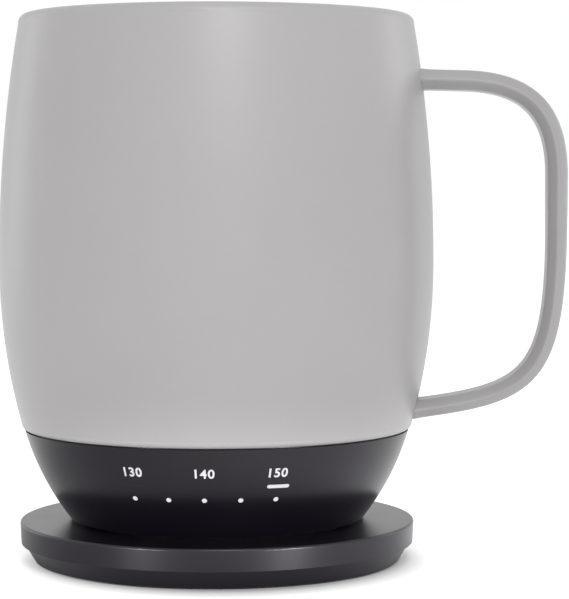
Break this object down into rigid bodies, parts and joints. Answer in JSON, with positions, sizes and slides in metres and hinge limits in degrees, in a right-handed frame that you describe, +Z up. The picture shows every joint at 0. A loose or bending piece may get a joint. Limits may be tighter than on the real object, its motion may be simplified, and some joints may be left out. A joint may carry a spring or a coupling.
{
  "type": "self-heating mug",
  "caption": "Barrel-shaped self-heating mug with a strap handle and a lit black base collar, standing on a round charging coaster that feeds it through sprung contact pins.",
  "frame": {"origin": "on the mug's axis, at the underside of the coaster's silicone foot", "axes": "+Z up out of the cup, +X from the axis towards the handle, -Y out of the lights, +Y out of the power inlet"},
  "size_m": [0.1238, 0.095, 0.1191],
  "materials": {
    "body_coat": "matte powder coat on steel",
    "cup_coat": "glossy ceramic coating on steel",
    "steel": "plain steel",
    "black_plastic": "satin moulded plastic",
    "inner_plastic": "plain moulded plastic",
    "silicone": "matte silicone",
    "light_guide": "clear to milky acrylic",
    "led": "white package",
    "film": "amber polyimide film",
    "circuit_board": "green solder mask",
    "copper": "copper lead",
    "nickel": "nickel strip",
    "cell_can": "sleeved metal can",
    "spreader": "rolled sheet",
    "felt": "pressed fibre pad",
    "gold": "gold-plated contact"
  },
  "bodies": {
    "coaster": {"coaster_top": "black_plastic", "coaster_base": "black_plastic", "coaster_foot": "silicone", "coaster_board": "circuit_board", "dc_jack": "inner_plastic", "jack_pin": "gold", "pin_barrels": "gold", "inner_pin_spring": "steel", "outer_pin_spring": "steel", "coaster_screws": "steel"},
    "mug": {"outer_shell": "body_coat", "handle": "body_coat", "inner_liner": "cup_coat", "vacuum_ring": "steel", "cover_screws": "steel", "board_screws": "steel", "switch_screws": "steel", "base_collar": "black_plastic", "bottom_cover": "black_plastic", "cell_cradle": "inner_plastic", "tact_switch": "inner_plastic", "board_parts": "inner_plastic", "temperature_sensor": "inner_plastic", "seam_seal": "silicone", "cover_seal": "silicone", "foot_ring": "silicone", "light_guide": "light_guide", "leds": "led", "led_board": "film", "heater_film": "film", "switch_lead": "film", "control_board": "circuit_board", "switch_board": "circuit_board", "heater_leads": "copper", "charge_leads": "copper", "cell_tabs": "nickel", "battery_cells": "cell_can", "heat_spreader": "spreader", "insulation_pad": "felt", "contact_ring_inner": "gold", "contact_ring_outer": "gold"},
    "button": {"power_button": "black_plastic", "button_seal": "silicone"},
    "switch_plunger": {"switch_plunger": "light_guide"},
    "inner_pin": {"inner_pin": "gold"},
    "outer_pin": {"outer_pin": "gold"}
  },
  "joints": [
    {"name": "mug_lift", "type": "slide", "parent": "coaster", "child": "mug", "axis": [0, 0, 1], "range_m": [0, 0.06]},
    {"name": "button_press", "type": "slide", "parent": "mug", "child": "button", "axis": [-0.8979, 0, 0.4402], "range_m": [0, 0.0005], "stiffness_N_per_m": 1200, "springref_m": -0.0005},
    {"name": "switch_press", "type": "slide", "parent": "mug", "child": "switch_plunger", "axis": [-0.8979, 0, 0.4402], "range_m": [0, 0.0005]},
    {"name": "inner_pin_press", "type": "slide", "parent": "coaster", "child": "inner_pin", "axis": [0, 0, -1], "range_m": [0, 0.0005], "stiffness_N_per_m": 600, "springref_m": -0.0005, "deforming": ["inner_pin_spring"]},
    {"name": "outer_pin_press", "type": "slide", "parent": "coaster", "child": "outer_pin", "axis": [0, 0, -1], "range_m": [0, 0.0005], "stiffness_N_per_m": 600, "springref_m": -0.0005, "deforming": ["outer_pin_spring"]}
  ],
  "couplings": [
    {"joint": "switch_press", "follows": "button_press", "ratio": 1}
  ]
}
